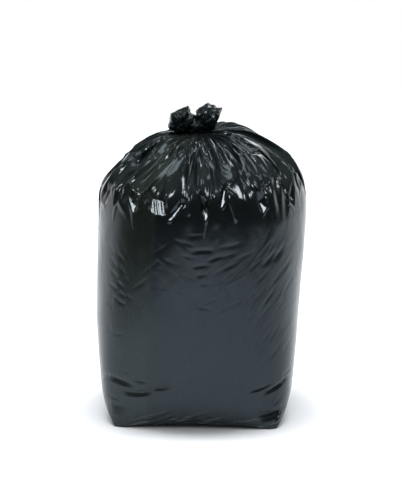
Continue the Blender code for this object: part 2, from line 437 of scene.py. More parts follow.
def settle_film():
    """The film from the base's edge to the neck, [column, row, xyz]."""
    columns, rows = 192, 121
    levels = 2
    p = None
    for level in range(levels):
        s = stations(rows)
        taut, radius = taut_surface(columns, s)
        normal = normals_of(taut)
        du = np.linalg.norm(np.roll(taut, -1, 0) - taut, axis=-1)
        dv = np.linalg.norm(np.diff(taut, axis=1), axis=-1)
        # film to spare, round the tube: none on the full body, and over the dome what the folds take up
        spare = (folded(s, radius) - 1)[None, :] * (1 + 0.25 * film_noise(columns, rows, 13, 3, 5))
        rest_u = du * (0.9985 + spare)
        # up the tube the film is drawn tight
        slack = np.interp(s, [0, 0.40, 0.47, 0.52, LENGTH], [-0.0010, -0.0010, -0.001, -0.003, -0.006])[None, :]
        rest_v = dv * (1 + slack[:, 1:])
        weight = np.ones((columns, rows))
        weight[:, 0] = 0
        weight[:, -1] = 0
        room_in = np.interp(s, [0, 0.02, 0.36, 0.43, 0.48, 0.53, 0.58, 0.64, 0.70, 0.76, LENGTH],
                            [0.0003, 0.0005, 0.0008, 0.0030, 0.0070, 0.013, 0.019, 0.021, 0.017, 0.010, 0.006])[None, :]
        room_out = np.interp(s, [0, 0.02, 0.40, 0.50, 0.60, 0.70, LENGTH], [0.0004, 0.0018, 0.0025, 0.0030, 0.0025, 0.0025, 0.003])[None, :]
        lumps = 0.0009 * film_noise(columns, rows, 8, 5, 11) + 0.0003 * film_noise(columns, rows, 17, 12, 12)
        lumps = lumps * np.interp(s, [0, 0.04, 0.45, 0.6], [0.2, 1, 1, 0])[None, :]
        lumps = lumps + 0.0004 * film_noise(columns, rows, 64, 5, 13) * np.interp(s, [0.26, 0.36, 0.45, 0.5], [0, 1, 1, 0])[None, :]
        if p is None:
            depth = pleat_depths(columns, s, radius, 7)
            p = taut - normal * depth[..., None]
            p[:, 0] = taut[:, 0]
        amp = np.interp(s, [0, 0.38, 0.46, 0.56, LENGTH], [0, 0, 0.0002, 0.0004, 0.0005])[None, :] / (1 + level)
        p = p + normal * (amp * film_noise(columns, rows, 90 * (1 + level), 6, 30 + level) * weight)[..., None]
        held = 1 - ease(s[:-1], 0.40, 0.47)[None, :]
        film = Film(p, rest_u, rest_v, weight, shape=taut, held=held)
        push = np.interp(s, [0, 0.40, 0.50, LENGTH], [0, 0, 2.0e-6, 2.0e-6])[None, :, None]
        force = normal * push - np.array([0, 0, 0.5e-6])
        film.run(
            (70, 36)[level], between(taut, normal, room_in - lumps, room_out + lumps), force,
            squeeze=(0.5, 0.45)[level], bend=(0.0, 0.01)[level], share=(0.97, 0.975)[level],
        )
        p = film.p.astype(float)
        print(f"film {columns} x {rows}: {time.time() - STARTED:.1f} s", flush=True)
        if level < levels - 1:
            p = finer(p)
            columns, rows = columns * 2, rows * 2 - 1
    # the folds run up the tube, and film under the pleats is taut
    for _ in range(30):
        p[:, 1:-1] = (p[:, :-2] + 2 * p[:, 1:-1] + p[:, 2:]) / 4
    for _ in range(2):
        p = (np.roll(p, 1, 0) + 2 * p + np.roll(p, -1, 0)) / 4
    even = taut.copy()
    for _ in range(30):
        even[:, 1:-1] = (even[:, :-2] + 2 * even[:, 1:-1] + even[:, 2:]) / 4
    p = p - even
    for _ in range(70):
        p[:, 1:-1] = (p[:, :-2] + 2 * p[:, 1:-1] + p[:, 2:]) / 4
    p = p + even
    # the outermost folds reach the taut surface
    depth = np.einsum("...i,...i->...", p - taut, normal)
    lift = np.quantile(depth, 0.88, axis=0)
    for _ in range(12):
        lift[1:-1] = (lift[:-2] + 2 * lift[1:-1] + lift[2:]) / 4
    p = p - normal * (lift * (1 - ease(s, LENGTH - 0.05, LENGTH)))[None, :, None]
    # they start higher at the two sides
    across = taut[:, np.searchsorted(s, SHOULDER), 0] / SECTIONS[-1, 1]
    side = np.maximum(ease(across, 0.78, 0.97), ease(-across, 0.60, 0.86))
    base = taut + (even - taut) * ease(s, 0.36, 0.42)[None, :, None]
    p = base + (p - base) * (ease(s, 0.400, 0.450)[None] * (1 - side[:, None]) + ease(s, 0.475, 0.555)[None] * side[:, None])[..., None]
    # their ridges are creased rather than rounded
    soft = p.copy()
    for _ in range(3):
        soft = (np.roll(soft, 1, 0) + 2 * soft + np.roll(soft, -1, 0)) / 4
    crease = (0.35 + 0.55 * ease(s, 0.50, 0.58)) * ease(s, 0.40, 0.48) * (1 - ease(s, LENGTH - 0.03, LENGTH))
    return p + (p - soft) * crease[None, :, None], s


# ------------------------------------------------------------------ dents pressed in to the film
def seen_from(p, azimuth):
    """Where points fall in a picture taken from this side, in the reference frame's pixels, and how far away."""
    c, sn = math.cos(azimuth), math.sin(azimuth)
    q = np.stack((p[..., 0] * c + p[..., 1] * sn, -p[..., 0] * sn + p[..., 1] * c, p[..., 2]), -1)
    eye = np.array(camera.location)
    ahead = np.array((0.0, math.cos(ELEVATION), -math.sin(ELEVATION)))
    up = np.array((0.0, math.sin(ELEVATION), math.cos(ELEVATION)))
    r = q - eye
    deep = r @ ahead
    scale = PIXELS_PER_METRE * DISTANCE / deep
    return 201 + r[..., 0] * scale, 250 - (r @ up) * scale, deep


def press(p, normal, azimuth, dents, turned=0.12, above=1.5, below=0.75, crisp=False):
    """Lens-shaped dents: x, y, half length, half width (pixels), turn (degrees, anticlockwise), depth (mm), bend.

    above and below are how gently the film goes in over the dent and comes out under it; crisp ones have flat sides."""
    x, y, deep = seen_from(p, azimuth)
    facing = -normal @ np.array((-math.sin(azimuth), math.cos(azimuth), 0.0))
    move = np.zeros(p.shape[:2])
    for cx, cy, long, wide, turn, depth, bend in dents:
        near = (facing > turned) & (np.abs(x - cx) < long + 4 * wide) & (np.abs(y - cy) < long + 4 * wide)
        t = math.radians(turn)
        dx, dy = x[near] - cx, y[near] - cy
        a = (dx * math.cos(t) - dy * math.sin(t)) / long
        b = -(dx * math.sin(t) + dy * math.cos(t)) / wide - bend * a * a
        along = np.clip(1 - a * a, 0, 1) ** (1.0 if crisp else 1.5)
        b = np.where(b > 0, b / above, -b / below)
        across = np.clip(1 - b, 0, 1) if crisp else np.exp(-b * b)
        move[near] += along * across * depth * 0.001
    return p - normal * move[..., None]


def crease(p, normal, azimuth, folds, turned=0.05):
    """Creases with flat sides: x, y, half length, half width (pixels), turn, height (mm, out), lopsidedness."""
    x, y, deep = seen_from(p, azimuth)
    facing = -normal @ np.array((-math.sin(azimuth), math.cos(azimuth), 0.0))
    move = np.zeros(p.shape[:2])
    for cx, cy, long, wide, turn, height, lop in folds:
        near = (facing > turned) & (np.abs(x - cx) < long + 2 * wide) & (np.abs(y - cy) < long + 2 * wide)
        t = math.radians(turn)
        dx, dy = x[near] - cx, y[near] - cy
        a = (dx * math.cos(t) - dy * math.sin(t)) / long
        b = -(dx * math.sin(t) + dy * math.cos(t)) / wide
        b = np.where(b > 0, b / (1 + lop), b / (1 - lop))
        move[near] += np.clip(1 - np.abs(b), 0, 1) * np.clip((1 - np.abs(a)) * 2.2, 0, 1) * height * 0.001
    return p + normal * move[..., None]


KEY, FILL, TOP, SKY = (-1.75, -1.75, 2.1), (1.75, -1.35, 2.0), (0.25, 0.9, 2.9), (-0.2, -1.0, 3.3)


def facet(p, normal, azimuth, facets, turned=0.1, out=0.0015):
    """Flat facets that turn towards a light: corners (pixels), the light, share of the turn, band of film that joins them on (pixels)."""
    c, sn = math.cos(azimuth), math.sin(azimuth)
    spin = np.array([[c, -sn, 0], [sn, c, 0], [0, 0, 1]])
    eye = spin @ np.array(camera.location)
    facing = -normal @ np.array((-sn, c, 0.0))
    for corners, light, share, band, *line in facets:
        x, y, deep = seen_from(p, azimuth)
        corners = np.array(corners, float)
        mid = corners.mean(0)
        reach = np.abs(corners - mid).max() + 4 * band + 2
        near = (facing > turned) & (np.abs(x - mid[0]) < reach) & (np.abs(y - mid[1]) < reach)
        if near.sum() < 8:
            continue
        px, py = x[near], y[near]
        area = 0.5 * float(sum(a[0] * b[1] - b[0] * a[1] for a, b in zip(corners, np.roll(corners, -1, 0))))
        outside = np.full(len(px), -1e9)
        for a, b in zip(corners, np.roll(corners, -1, 0)):
            d = ((b[0] - a[0]) * (py - a[1]) - (b[1] - a[1]) * (px - a[0])) / math.hypot(*(b - a))
            # the band is longer above the facet, so that the film over it doesn't face the floor
            over = 0.0 if line else max(0.0, math.copysign(1, area) * (b[0] - a[0]) / math.hypot(*(b - a)))
            outside = np.maximum(outside, -d * math.copysign(1, area) * (1 - 0.72 * over))
        inside = outside < 0
        if inside.sum() < 4:
            continue
        q, n = p[near], normal[near]
        centre, own = q[inside].mean(0), n[inside].mean(0)
        own /= np.linalg.norm(own)
        to_eye, to_light = eye - centre, spin @ np.array(light) - centre
        half = to_eye / np.linalg.norm(to_eye) + to_light / np.linalg.norm(to_light)
        half = half / np.linalg.norm(half) * share + own * (1 - share)
        if line:
            a = px[inside] * line[0][0] + py[inside] * line[0][1]
            run = ((a - a.mean())[:, None] * (q[inside] - centre)).sum(0)
            run /= np.linalg.norm(run) + 1e-12
            half = half - 0.5 * run * (half @ run)
        half /= np.linalg.norm(half)
        off = ((centre - q) @ half) / np.clip(n @ half, 0.4, None)
        # they turn about their lower edge, so that no step under them faces the floor
        low = 0.0 if line else off[inside & (py >= np.quantile(py[inside], 0.85))].mean()
        off = off - low - 0.0002
        off = np.clip(off, max(-0.010, float(off[inside].min())), out) * np.clip(1 - np.clip(outside, 0, None) / band, 0, 1)
        p[near] = q + n * off[:, None]
    return p


def strips(lines, wide, light, band=1.3, step=7.0):
    """Narrow facets one after another along each line of pixels: the lit edge of a long fold."""
    made = []
    for line in lines:
        for a, b in zip(line, line[1:]):
            a, b = np.array(a, float), np.array(b, float)
            pieces = max(1, int(round(math.dist(a, b) / step)))
            side = np.array((a[1] - b[1], b[0] - a[0])) / math.dist(a, b) * wide / 2
            for k in range(pieces):
                c, d = a + (b - a) * k / pieces, a + (b - a) * (k + 1) / pieces
                made.append((tuple(map(tuple, (c + side, d + side, d - side, c - side))), light, 1.0, band, (b - a) / math.dist(a, b)))
    return made


def ridges(lines, wide, height):
    """One long fold along each line of pixels."""
    made = []
    for line in lines:
        for (x0, y0), (x1, y1) in zip(line, line[1:]):
            made.append(((x0 + x1) / 2, (y0 + y1) / 2, math.dist((x0, y0), (x1, y1)) * 0.62, wide, math.degrees(math.atan2(y0 - y1, x1 - x0)), height, 0.2))
    return made


def fanned(seed, count, low, high, size, wide, height, spread=5.0):
    """Creases that run out from the knot, spread over the dome as seen from one side."""
    rng = np.random.default_rng(seed)
    made = []
    for _ in range(count):
        x, y = rng.uniform(low[0], high[0]), rng.uniform(low[1], high[1])
        turn = math.degrees(math.atan2(-(y - 124), x - 198)) + rng.normal(0, spread)
        far = min(1.0, 0.35 + (y - 124) / 75)
        made.append((x, y, rng.uniform(*size) * far, rng.uniform(*wide) * far, turn,
                     rng.uniform(*height) * rng.choice((-1.0, 1.0), p=(0.4, 0.6)) * far, rng.uniform(-0.6, 0.6)))
    return made


def slanting(seed, count, low, high, size, turn):
    """Fine creases drawn in to the film, all about the same way."""
    rng = np.random.default_rng(seed)
    return [(rng.uniform(low[0], high[0]), rng.uniform(low[1], high[1]), rng.uniform(*size), rng.uniform(1.4, 2.8), rng.uniform(*turn),
             rng.choice((-1.0, 1.0)) * rng.uniform(0.06, 0.20), rng.uniform(-0.5, 0.5)) for _ in range(count)]


def scattered(seed, count, low, high, size, turn, depth, stout=0.17):
    """Dents of the same kind, spread over part of one side."""
    rng = np.random.default_rng(seed)
    made = []
    for _ in range(count):
        k = rng.uniform(size[0], size[1])
        made.append((rng.uniform(low[0], high[0]), rng.uniform(low[1], high[1]), k, k * stout * rng.uniform(0.75, 1.25),
                     rng.uniform(*turn), rng.uniform(*depth), rng.uniform(-0.6, 0.6)))
    return made


# what the photograph shows on the front: x, y, half length, half width, turn, depth, bend
LOW_DENTS = [
    # crescents low on the left: the film hangs over each one's upper edge
    (121.0, 379.5, 17.0, 5.5, -22, 2.6, -0.15), (141.0, 380.8, 9.0, 3.4, -12, 1.4, 0.2),
    (161.0, 388.0, 14.0, 3.6, 2, 2.0, 0.75), (139.0, 392.4, 18.0, 5.0, 0, 3.0, 0.65),
    (119.0, 405.5, 17.0, 9.5, -12, 2.0, 0.05),
    # low on the right
    (256.0, 388.8, 10.0, 3.0, 26, 1.5, 0.30), (263.5, 387.0, 10.0, 2.4, 27, 1.2, 0.2), (275.5, 386.0, 14.0, 4.0, 34, 2.3, 0.35),
    (270.5, 412.5, 17.0, 8.0, 18, 5.0, 0.10), (278.5, 418.0, 8.0, 2.2, 60, -1.4, 0.0), (272.5, 419.0, 7.0, 1.8, 66, -0.9, 0.0),
]
FRONT_DENTS = [
    (116.0, 398.5, 9.0, 2.2, -24, 0.7, 0.2), (128.0, 372.0, 10.0, 2.0, -12, 0.4, 0.3), (118.0, 334.0, 5.6, 1.6, -6, 0.4, 0),
    # long slanting ones up the right
    (270.0, 258, 12, 3.6, 50, 1.0, 0.1), (279.0, 253, 12, 2.8, 55, 0.8, 0), (285.5, 290, 20, 2.2, 64, 0.50, 0.1),
    (268.0, 298, 15, 2.3, 52, 0.40, 0.1), (277.0, 277, 15, 2.4, 56, 0.50, 0.1), (263.0, 314, 16, 2.2, 55, 0.28, 0.1),
    (284.0, 322, 20, 2.4, 66, 0.35, 0.1), (273.0, 334, 18, 2.2, 58, 0.30, 0.1), (262.0, 277, 11, 2.2, 48, 0.32, 0.1),
    (288.0, 262, 12, 2.2, 60, 0.40, 0.1), (255.0, 265, 10, 2.4, 42, 0.28, 0.1), (280.0, 306, 14, 2.2, 60, 0.35, 0.1),
    (275.0, 351, 14, 2.2, 56, 0.40, 0.1), (287.0, 345, 14, 2.2, 64, 0.35, 0.1), (258.0, 296, 14, 2.4, 50, 0.22, 0.1),
    (250.0, 318, 14, 2.6, 54, 0.16, 0.1), (262.0, 341, 14, 2.4, 56, 0.20, 0.1), (278.0, 400.0, 12.0, 2.2, 52, 0.35, 0.2),
    # short slanting ones on the left
    (113.5, 262, 7, 2.8, -58, 0.46, 0), (121.5, 258, 7, 2.7, -55, 0.43, 0), (114.5, 274, 6.5, 2.7, -50, 0.5, 0.1),
    (122.5, 271, 6.5, 2.6, -55, 0.43, 0.1), (113, 286, 6, 2.6, -44, 0.5, 0.1), (120.5, 284.5, 5.6, 2.6, -50, 0.46, 0.1),
    (114.5, 297, 5, 2.2, -36, 0.37, 0.1), (122.5, 294.5, 5, 2.1, -42, 0.34, 0.1), (121, 302.5, 6, 2.4, -32, 0.5, 0.2),
    (129, 297, 5.6, 2.1, -45, 0.25, 0.1), (112, 249, 6, 2.4, -62, 0.31, 0), (126, 279, 5.5, 2, -50, 0.22, 0),
    # short level ones down the middle
    (202.5, 250.6, 11.5, 3.0, 3, 1.30, -0.15), (214.0, 258.5, 9.5, 2.8, 24, 0.95, 0.1), (196.0, 236, 9, 2.8, 4, 0.40, 0.1),
    (201.0, 265.6, 10, 2.9, 7, 1.10, -0.2), (188.0, 257.0, 8, 2.6, -14, 0.35, 0.1), (226.0, 256.0, 12, 2.8, 16, 0.40, 0.1),
    (201.5, 275.0, 7.5, 2.8, 10, 0.80, -0.2), (204.5, 284.0, 6, 2.5, 4, 0.50, -0.2), (204.0, 308.0, 7.0, 2.6, -12, 0.60, -0.1),
    (203.0, 321, 6, 2.2, 6, 0.30, -0.2), (222.0, 270, 14, 2.6, 29, 0.35, 0.1), (188.0, 277, 11, 2.4, -20, 0.25, 0.1),
    (184.0, 243, 12, 2.8, -14, 0.35, 0.1), (230.0, 246, 13, 3.0, 12, 0.50, 0.1), (214.0, 300, 12, 2.2, 30, 0.20, 0.1),
    (242.0, 257, 12, 2.6, 24, 0.30, 0.1), (234.0, 264, 11, 2.4, 30, 0.25, 0.1), (170.0, 262, 12, 2.6, -24, 0.22, 0.1),
    (150.0, 268, 14, 3.0, 40, 0.30, 0.1), (140.0, 284, 13, 3.0, 36, 0.30, 0.1), (160.0, 250, 14, 3.0, 34, 0.25, 0.1),
]
# folds that stand up along the base's edge and catch the light
LOW_FOLDS = [
    (158.0, 415.4, 21.0, 1.9, 19, 0.7, 0.2), (164.0, 418.8, 15.0, 1.8, 22, 0.5, 0.2), (194.0, 416.4, 13.0, 1.9, 14, 0.7, 0.2),
    (200.5, 419.8, 8.0, 2.4, -34, 0.7, 0.0), (184.0, 420.6, 11.0, 1.8, 16, 0.5, 0.1), (236.0, 422.2, 26.0, 1.5, -3, 0.4, 0.1),
    (222.0, 419.0, 14.0, 1.6, -8, 0.3, 0.1),
]

# flat facets of the pleats that catch a light, as the photograph shows them on the dome's front
DOME_FACETS = [
    (((130.8, 200.0), (135.0, 198.0), (133.0, 214.0)), KEY, 1.0, 3.0),
    (((150.5, 198.0), (162.0, 200.5), (164.8, 213.5), (152.5, 217.0)), KEY, 1.0, 4.0),
    (((169.6, 160.3), (183.3, 157.4), (176.1, 170.3), (161.7, 179.7)), SKY, 1.0, 4.0),
    (((202.6, 203.0), (205.0, 205.0), (207.6, 212.0), (204.8, 223.4)), KEY, 1.0, 3.0),
    (((181.6, 203.2), (183.4, 204.6), (170.2, 221.8), (168.2, 220.4)), KEY, 1.0, 2.0),
    (((224.0, 189.0), (226.2, 189.4), (222.8, 208.2), (220.6, 207.8)), KEY, 1.0, 2.0),
    (((223.4, 174.6), (237.8, 174.6), (235.0, 180.0), (227.7, 181.8)), SKY, 1.0, 3.0),
    (((229.9, 187.6), (238.5, 189.0), (242.1, 199.0)), FILL, 1.0, 3.0),
    (((260.7, 200.5), (263.0, 203.0), (266.0, 209.0), (263.6, 212.5)), FILL, 1.0, 3.0),
    (((240.0, 158.0), (244.0, 158.5), (246.5, 170.5), (241.0, 168.0)), SKY, 1.0, 3.0),
    (((220.6, 161.0), (227.0, 165.5), (234.0, 167.0), (229.0, 170.0), (223.0, 167.0)), SKY, 1.0, 2.5),
    (((161.7, 144.5), (171.0, 142.5), (166.0, 149.5), (152.5, 155.0)), SKY, 1.0, 3.0),
    (((136.5, 143.5), (139.5, 142.5), (138.0, 146.5)), KEY, 1.0, 2.0),
    (((231.0, 138.5), (252.0, 144.5), (262.0, 152.5), (248.0, 149.5)), SKY, 1.0, 3.0),
    (((207.0, 160.5), (212.0, 161.0), (215.0, 168.0), (212.0, 168.5)), SKY, 1.0, 2.5),
    (((131.0, 158.0), (146.0, 152.0), (138.0, 163.0), (124.0, 170.0)), SKY, 0.8, 4.0),
    (((188.0, 163.0), (194.0, 163.0), (192.5, 186.0), (188.5, 184.0)), TOP, 0.5, 3.0),
    (((247.0, 158.0), (262.0, 165.0), (272.0, 178.0), (258.0, 172.0)), SKY, 0.7, 4.0),
]
# fine folds across the brightest facets, and fine slanting ones on the body: x, y, half length, half width, turn, height, lopsidedness
STRIATIONS = [
    (153.0, 206.0, 12.0, 1.0, -84, 0.40, 0.3), (155.8, 208.0, 12.0, 0.9, -86, -0.36, 0.0), (158.0, 207.0, 13.0, 1.0, -82, 0.43, -0.2),
    (160.6, 209.0, 11.0, 0.9, -84, 0.32, 0.2), (163.0, 208.0, 10.0, 0.9, -82, -0.36, 0.0), (146.0, 204.0, 9.0, 0.9, -80, 0.40, 0.0),
    (176.0, 164.0, 12.0, 1.0, 56, 0.25, 0.2), (171.0, 170.0, 12.0, 1.0, 58, -0.25, 0.2), (134.0, 205.0, 8.0, 0.8, 78, 0.36, 0.0),
    (206.5, 212.0, 9.0, 0.8, 84, 0.43, 0.0), (232.0, 178.0, 7.0, 0.8, 10, 0.36, 0.0), (235.0, 192.0, 6.0, 0.8, -60, 0.36, 0.0),
]
# the lit edges of the longest folds, in pixels
BRIGHT_LINES = (
    ((213.5, 163.0), (220.0, 175.0), (227.0, 184.0)), 
    ((141.5, 191.5), (136.5, 200.0), (133.0, 211.0)), ((139.5, 192.5), (133.5, 201.0)), ((207.0, 206.0), (205.5, 222.0)),
    ((144.5, 199.0), (145.5, 206.0)), ((147.5, 198.0), (149.0, 211.0)), ((182.5, 169.0), (184.5, 184.0), (185.0, 198.0)),
    ((186.5, 203.0), (189.0, 214.0)), ((184.5, 204.0), (187.0, 215.0)),
)
RIGHT_LINES = (
    ((264.0, 188.0), (268.0, 203.0), (270.5, 216.0)),
    ((280.5, 180.0), (284.5, 188.0), (287.0, 196.0), (288.5, 204.0)),
)
UPPER_LINES = (
    # the fold that hangs under the knot
    ((206.0, 133.0), (201.0, 142.0), (194.0, 150.5)), ((194.0, 151.0), (186.5, 154.0), (180.0, 152.5)), ((180.0, 151.0), (183.0, 144.5), (193.0, 139.0)),
    ((178.0, 143.0), (160.0, 153.0), (146.0, 164.0)), ((166.0, 136.0), (150.0, 144.0), (136.0, 155.0)), ((183.0, 153.0), (168.0, 167.0), (156.0, 180.0)),
    ((244.0, 152.0), (254.0, 166.0), (259.5, 176.0), (264.0, 187.0)), ((193.5, 156.0), (190.0, 170.0), (187.0, 186.0)), ((222.0, 132.0), (240.0, 138.0), (256.0, 148.0)),
)
LONG_FOLDS = (
    ((193.5, 156.0), (190.0, 170.0), (187.0, 186.0), (185.5, 198.0), (188.5, 215.0)), ((181.0, 167.0), (184.5, 180.0), (184.0, 196.0)),
    ((195.0, 139.0), (186.0, 143.5), (179.5, 149.0), (180.5, 154.0), (194.0, 154.0), (199.0, 149.0), (206.0, 141.0)),
    ((166.0, 136.0), (150.0, 144.0), (136.0, 155.0), (122.0, 168.0)), ((178.0, 143.0), (160.0, 153.0), (146.0, 164.0), (130.0, 180.0)),
    ((183.0, 153.0), (168.0, 167.0), (152.0, 184.0), (140.0, 196.0)), ((172.0, 152.0), (158.0, 163.0), (143.0, 178.0)),
    ((222.0, 132.0), (240.0, 138.0), (256.0, 148.0), (270.0, 160.0), (282.0, 174.0)), ((218.0, 138.0), (236.0, 148.0), (252.0, 160.0), (266.0, 176.0)),
    ((215.0, 144.0), (230.0, 156.0), (244.0, 172.0), (252.0, 188.0)), ((207.0, 150.0), (210.0, 168.0), (212.0, 186.0), (213.0, 200.0)),
    ((228.0, 197.0), (232.0, 209.0), (236.0, 221.0)), ((227.5, 190.0), (224.5, 207.0)), ((198.0, 160.0), (197.0, 180.0), (199.0, 200.0)), ((249.5, 160.0), (254.0, 166.0), (259.5, 176.0), (264.0, 187.0)),
)
# the longest creases: x, y, half length, half width, turn, height, lopsidedness
DOME_CREASES = [
    # the fold that hangs under the knot
    (186.0, 143.2, 14.0, 2.0, 32, 1.3, 0.2), (202.0, 143.0, 13.0, 2.0, 60, 1.4, 0.2), (187.0, 153.6, 10.0, 1.8, 2, 1.2, 0.3),
    (190.0, 148.5, 9.0, 4.0, 20, -2.0, 0.0), (198.0, 153.0, 5.0, 1.6, 60, 1.2, 0.0),
    # ridges
    (183.8, 182, 22, 2.53, -84, 1.24, 0.3), (192.8, 185, 34, 2.76, 84, 1.12, -0.3), (224, 180, 30, 2.76, -57, 1.36, 0.2),
    (231, 206.5, 18, 2.3, -78, 1.12, 0), (256, 173, 26, 2.76, -58, 1.36, 0.2), (264, 195, 22, 2.3, -76, 0.99, 0.2),
    (272, 170, 22, 2.76, -48, 1.12, 0.2), (176, 212, 16, 2.76, 50, 1.24, 0.3), (203, 175, 30, 2.76, -86, 1.12, 0.2),
    (212, 190, 24, 2.53, -80, 0.87, 0.2), (160, 147, 26, 2.76, 33, 1.24, 0.2), (148, 165, 28, 2.99, 42, 1.36, 0.2),
    (136, 176, 22, 2.76, 44, 1.12, -0.2), (160, 184, 26, 2.99, 58, 1.24, 0.2), (170, 186, 22, 2.53, 64, 0.99, 0.2),
    (243, 143, 26, 2.53, -24, 0.87, -0.1), (262, 157, 26, 2.76, -36, 1.12, -0.1), (252, 132, 22, 1.84, -20, 0.62, -0.1),
    (284, 190, 18, 2.3, -70, 0.99, -0.1), (246, 190, 24, 2.53, -70, 0.99, 0.1), (292, 182, 16, 2.3, -66, 0.74, 0.1),
    # grooves between them
    (177, 178, 26, 3.91, 66, -1.61, 0.2), (197, 180, 30, 4.14, 88, -1.61, 0), (207.5, 180, 28, 3.45, -84, -1.36, 0),
    (217, 186, 26, 3.91, -66, -1.49, 0), (236, 172, 26, 3.91, -52, -1.49, 0), (250, 184, 24, 3.45, -64, -1.24, 0),
    (152, 176, 28, 3.91, 48, -1.61, 0), (143, 158, 24, 3.22, 36, -1.12, 0), (268, 178, 20, 3.45, -56, -1.24, 0),
    (236, 150, 26, 3.22, -32, -1.12, 0), (276, 196, 16, 2.99, -74, -0.99, 0), (128, 190, 16, 3.22, 60, -0.99, 0),
]


# ------------------------------------------------------------------ crumpled film, for the knot
def creased(q, seed, size, grain=None):
    """Sharp straight folds with flat sides, in several directions at once, about -1 to 1. They run along the grain."""
    rng = np.random.default_rng(seed)
    out = 0.0
    for _ in range(4):
        d, e = rng.normal(0, 1, 3), rng.normal(0, 1, 3)
        if grain is not None:
            d -= grain * (d @ grain) * 0.65
        d, e = d / np.linalg.norm(d), e / np.linalg.norm(e)
        f = rng.uniform(0.7, 1.35) / size
        t = q @ d * f + rng.uniform(0, 1) + 0.24 * np.sin(q @ e * f * 3.3 + rng.uniform(0, 6.28))
        much = 0.7 + 0.5 * np.sin(q @ np.roll(e, 1) * f * 1.9 + rng.uniform(0, 6.28))
        out = out + (4 * np.abs(t - np.floor(t) - 0.5) - 1) * much
    return out / 2.1


# each bunch of the bag's mouth as the photograph shows it: x and z round its outline
LEFT_BUNCH = (
    (-0.0738, 0.6194), (-0.0717, 0.6325), (-0.0668, 0.6470), (-0.0482, 0.6548), (-0.0275, 0.6632), (-0.0204, 0.6478),
    (-0.0120, 0.6400), (-0.0080, 0.6200), (-0.0150, 0.6060), (-0.0400, 0.6030), (-0.0670, 0.6070),
)
RIGHT_BUNCH = (
    (-0.0119, 0.6465), (-0.0040, 0.6576), (0.0130, 0.6668), (0.0276, 0.6612), (0.0340, 0.6560), (0.0446, 0.6560),
    (0.0412, 0.6412), (0.0358, 0.6281), (0.0300, 0.6120), (0.0100, 0.6040), (-0.0120, 0.6060), (-0.0180, 0.6250),
)
TURNS = ((-0.032, 0.618), (-0.022, 0.632), (-0.006, 0.636), (0.008, 0.630), (0.014, 0.617), (0.006, 0.604), (-0.012, 0.600), (-0.028, 0.604))


def bunch(outline_xz, centre, depth, grain, seed, columns=256, rows=129, rough=1.0):
    """Crumpled film whose outline from the front is the one given: [column, row, xyz]."""
    centre, grain = np.array(centre, float), np.array(grain, float) / np.linalg.norm(grain)
    corners = np.array(outline_xz) - centre[[0, 2]]
    turn = 2 * np.pi * np.arange(columns) / columns
    ray = np.stack((np.cos(turn), np.sin(turn)), 1)
    reach = np.full(columns, 1e9)
    for a, b in zip(corners, np.roll(corners, -1, 0)):
        edge = b - a
        cross = ray[:, 0] * edge[1] - ray[:, 1] * edge[0]
        cross = np.where(np.abs(cross) < 1e-9, 1e-9, cross)
        t = (a[0] * edge[1] - a[1] * edge[0]) / cross
        k = (a[0] * ray[:, 1] - a[1] * ray[:, 0]) / cross
        reach = np.where((t > 0) & (k >= -1e-6) & (k <= 1 + 1e-6), np.minimum(reach, t), reach)
    tilt = np.linspace(-np.pi / 2 + 0.02, np.pi / 2 - 0.02, rows)
    flat = np.cos(tilt)[None, :] ** 0.8
    out = np.stack(np.broadcast_arrays(
        ray[:, :1] * reach[:, None] * flat, depth * np.sin(tilt)[None, :] + 0 * flat, ray[:, 1:] * reach[:, None] * flat), -1)
    far = np.linalg.norm(out, axis=-1, keepdims=True)
    q = out + centre
    high = 0.0036 * creased(q, seed, 0.030, grain) + 0.0022 * creased(q, seed + 1, 0.016, grain) + 0.0003 * creased(q, seed + 2, 0.008, grain)
    return q + out / far * (high * rough - 0.0012)[..., None]


def knot_points():
    left = bunch(LEFT_BUNCH, (-0.041, -0.002, 0.629), 0.027, (-0.8, 0.1, 0.55), 11)
    right = bunch(RIGHT_BUNCH, (0.013, -0.001, 0.634), 0.028, (0.45, 0.1, 0.85), 23)
    turns = bunch(TURNS, (-0.009, -0.004, 0.617), 0.026, (0.2, 1.0, 0.1), 303, columns=160, rows=81)
    return [left, right, turns]


# ------------------------------------------------------------------ meshes
def grid_faces(columns, rows, start=0):
    """Quads of a grid that is joined round its columns."""
    u, v = np.meshgrid(np.arange(columns), np.arange(rows - 1), indexing="ij")
    n = (u + 1) % columns
    faces = np.stack((u * rows + v, n * rows + v, n * rows + v + 1, u * rows + v + 1), -1)
    return faces.reshape(-1, 4) + start


def mesh_object(name, points, faces, places, material, normals=None):
    """Quads only; places is each point's (u, v) on the film in metres."""
    data = bpy.data.meshes.new(name)
    data.vertices.add(len(points))
    data.vertices.foreach_set("co", points.astype(np.float32).ravel())
    data.loops.add(faces.size)
    data.loops.foreach_set("vertex_index", faces.astype(np.int32).ravel())
    data.polygons.add(len(faces))
    data.polygons.foreach_set("loop_start", np.arange(0, faces.size, 4, dtype=np.int32))
    layer = data.uv_layers.new(name="film")
    uv = places[faces]
    # the quad that closes the tube ends at a whole turn and not at 0
    whole = 1.40
    wraps = (uv[..., 0].max(1) - uv[..., 0].min(1)) > whole / 2
    uv[wraps, :, 0] = np.where(uv[wraps, :, 0] < whole / 2, uv[wraps, :, 0] + whole, uv[wraps, :, 0])
    layer.data.foreach_set("uv", uv.astype(np.float32).ravel())
    data.update(calc_edges=True)
    data.validate()
    data.shade_smooth()
    if normals is not None:
        data.normals_split_custom_set_from_vertices(normals.reshape(-1, 3).astype(np.float32))
    data.materials.append(material)
    made = bpy.data.objects.new(name, data)
    bpy.context.scene.collection.objects.link(made)
    return made


def film_places(columns, s):
    u = 1.40 * np.arange(columns) / columns
    return np.stack(np.broadcast_arrays(u[:, None], s[None, :]), -1).reshape(-1, 2)


